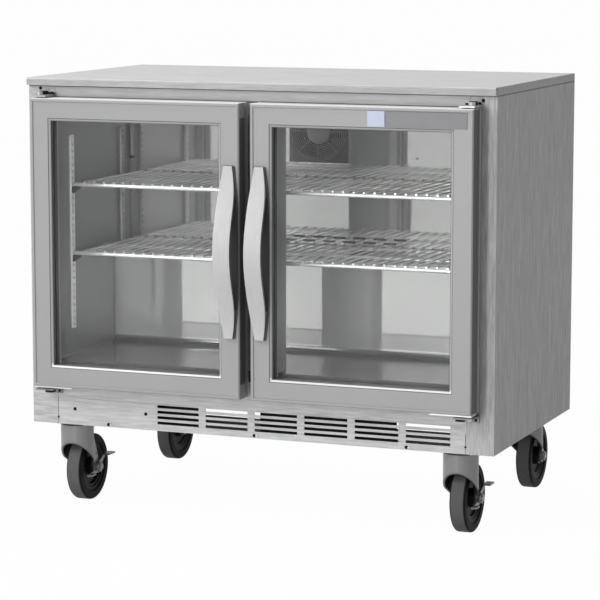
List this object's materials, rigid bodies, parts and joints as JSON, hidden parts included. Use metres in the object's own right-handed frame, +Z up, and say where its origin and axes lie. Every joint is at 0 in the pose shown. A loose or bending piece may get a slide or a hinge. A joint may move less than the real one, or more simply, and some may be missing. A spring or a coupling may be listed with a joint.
{
  "type": "undercounter refrigerator",
  "caption": "Low stainless undercounter refrigerator with hinged glass doors, wire shelves, a fan-cooled cabinet, a rear machine bay and swivel casters with foot brakes.",
  "frame": {"origin": "on the floor, under the middle of the part's bounding box", "axes": "+X along the width to the user's right when facing the doors, -Y towards the user at the front, +Z up"},
  "size_m": [0.914, 0.6474, 0.8131],
  "materials": {
    "brushed_steel": "brushed",
    "side_steel": "brushed",
    "galvanised_sheet": "satin",
    "liner_aluminium": "polished",
    "foam": "matte",
    "fin_aluminium": "satin",
    "copper_coil": "satin",
    "black_plastic": "matte",
    "guard_wire": "satin",
    "pilaster_steel": "satin",
    "dark_clip": "matte",
    "shelf_wire": "polished",
    "compressor_black": "satin",
    "hinge_steel": "satin",
    "caster_zinc": "satin",
    "door_frame": "satin",
    "glass": "clear",
    "spacer": "satin",
    "gasket": "matte",
    "handle_body": "satin",
    "handle_face": "satin",
    "hub_plastic": "matte",
    "tyre_rubber": "matte"
  },
  "bodies": {
    "cabinet": {"worktop": "brushed_steel", "left_side_panel": "side_steel", "right_side_panel": "side_steel", "back_panel": "galvanised_sheet", "top_rail": "brushed_steel", "sill": "brushed_steel", "centre_mullion": "liner_aluminium", "foam_walls": "foam", "liner": "liner_aluminium", "bay_liner": "galvanised_sheet", "evaporator_cover": "liner_aluminium", "evaporator_coil": "fin_aluminium", "evaporator_fan_frame": "black_plastic", "fan_guard": "guard_wire", "drain_trough": "galvanised_sheet", "shelf_pilasters": "pilaster_steel", "shelf_clips": "dark_clip", "upper_shelf": "shelf_wire", "lower_shelf": "shelf_wire", "base_channels": "galvanised_sheet", "machine_tray": "galvanised_sheet", "compressor": "compressor_black", "condenser_coil": "copper_coil", "condenser_fan_shroud": "galvanised_sheet", "rear_grille": "galvanised_sheet", "kick_grille": "brushed_steel", "control_box": "black_plastic", "top_hinge_brackets": "hinge_steel", "bottom_hinge_brackets": "hinge_steel", "caster_plates": "caster_zinc"},
    "evaporator_fan": {"evaporator_fan_blade": "black_plastic"},
    "condenser_fan": {"condenser_fan_blade": "fin_aluminium"},
    "left_door": {"left_door_frame": "door_frame", "left_door_glass": "glass", "left_door_spacer": "spacer", "left_door_gasket": "gasket", "left_handle": "handle_body", "left_handle_face": "handle_face", "left_hinge_leaf": "hinge_steel"},
    "right_door": {"right_door_frame": "door_frame", "right_door_glass": "glass", "right_door_spacer": "spacer", "right_door_gasket": "gasket", "right_handle": "handle_body", "right_handle_face": "handle_face", "right_hinge_leaf": "hinge_steel"},
    "swivel_front_left": {"fork_front_left": "caster_zinc"},
    "wheel_front_left": {"hub_front_left": "hub_plastic", "tyre_front_left": "tyre_rubber"},
    "brake_left": {"brake_front_left": "caster_zinc"},
    "swivel_front_right": {"fork_front_right": "caster_zinc"},
    "wheel_front_right": {"hub_front_right": "hub_plastic", "tyre_front_right": "tyre_rubber"},
    "brake_right": {"brake_front_right": "caster_zinc"},
    "swivel_rear_left": {"fork_rear_left": "caster_zinc"},
    "wheel_rear_left": {"hub_rear_left": "hub_plastic", "tyre_rear_left": "tyre_rubber"},
    "swivel_rear_right": {"fork_rear_right": "caster_zinc"},
    "wheel_rear_right": {"hub_rear_right": "hub_plastic", "tyre_rear_right": "tyre_rubber"}
  },
  "joints": [
    {"name": "evaporator_fan_spin", "type": "hinge", "parent": "cabinet", "child": "evaporator_fan", "pos_m": [0, 0.10425, 0.7016], "axis": [0, 1, 0], "continuous": true},
    {"name": "condenser_fan_spin", "type": "hinge", "parent": "cabinet", "child": "condenser_fan", "pos_m": [-0.2605, 0.16665, 0.27885], "axis": [1, 0, 0], "continuous": true},
    {"name": "left_door_hinge", "type": "hinge", "parent": "cabinet", "child": "left_door", "pos_m": [-0.4198, -0.26275, 0.5081], "axis": [0, 0, -1], "range_deg": [0, 110]},
    {"name": "right_door_hinge", "type": "hinge", "parent": "cabinet", "child": "right_door", "pos_m": [0.4198, -0.26275, 0.5081], "axis": [0, 0, 1], "range_deg": [0, 110]},
    {"name": "swivel_front_left", "type": "hinge", "parent": "cabinet", "child": "swivel_front_left", "pos_m": [-0.3835, -0.19205, 0.1541], "axis": [0, 0, 1], "continuous": true},
    {"name": "roll_front_left", "type": "hinge", "parent": "swivel_front_left", "child": "wheel_front_left", "pos_m": [-0.3835, -0.15405, 0.0635], "axis": [1, 0, 0], "continuous": true},
    {"name": "brake_left", "type": "hinge", "parent": "swivel_front_left", "child": "brake_left", "pos_m": [-0.3835, -0.15405, 0.0635], "axis": [-1, 0, 0], "range_deg": [0, 18]},
    {"name": "swivel_front_right", "type": "hinge", "parent": "cabinet", "child": "swivel_front_right", "pos_m": [0.3835, -0.19205, 0.1541], "axis": [0, 0, 1], "continuous": true},
    {"name": "roll_front_right", "type": "hinge", "parent": "swivel_front_right", "child": "wheel_front_right", "pos_m": [0.3835, -0.15405, 0.0635], "axis": [1, 0, 0], "continuous": true},
    {"name": "brake_right", "type": "hinge", "parent": "swivel_front_right", "child": "brake_right", "pos_m": [0.3835, -0.15405, 0.0635], "axis": [-1, 0, 0], "range_deg": [0, 18]},
    {"name": "swivel_rear_left", "type": "hinge", "parent": "cabinet", "child": "swivel_rear_left", "pos_m": [-0.3835, 0.22225, 0.1541], "axis": [0, 0, 1], "continuous": true},
    {"name": "roll_rear_left", "type": "hinge", "parent": "swivel_rear_left", "child": "wheel_rear_left", "pos_m": [-0.3835, 0.26025, 0.0635], "axis": [1, 0, 0], "continuous": true},
    {"name": "swivel_rear_right", "type": "hinge", "parent": "cabinet", "child": "swivel_rear_right", "pos_m": [0.3835, 0.22225, 0.1541], "axis": [0, 0, 1], "continuous": true},
    {"name": "roll_rear_right", "type": "hinge", "parent": "swivel_rear_right", "child": "wheel_rear_right", "pos_m": [0.3835, 0.26025, 0.0635], "axis": [1, 0, 0], "continuous": true}
  ]
}
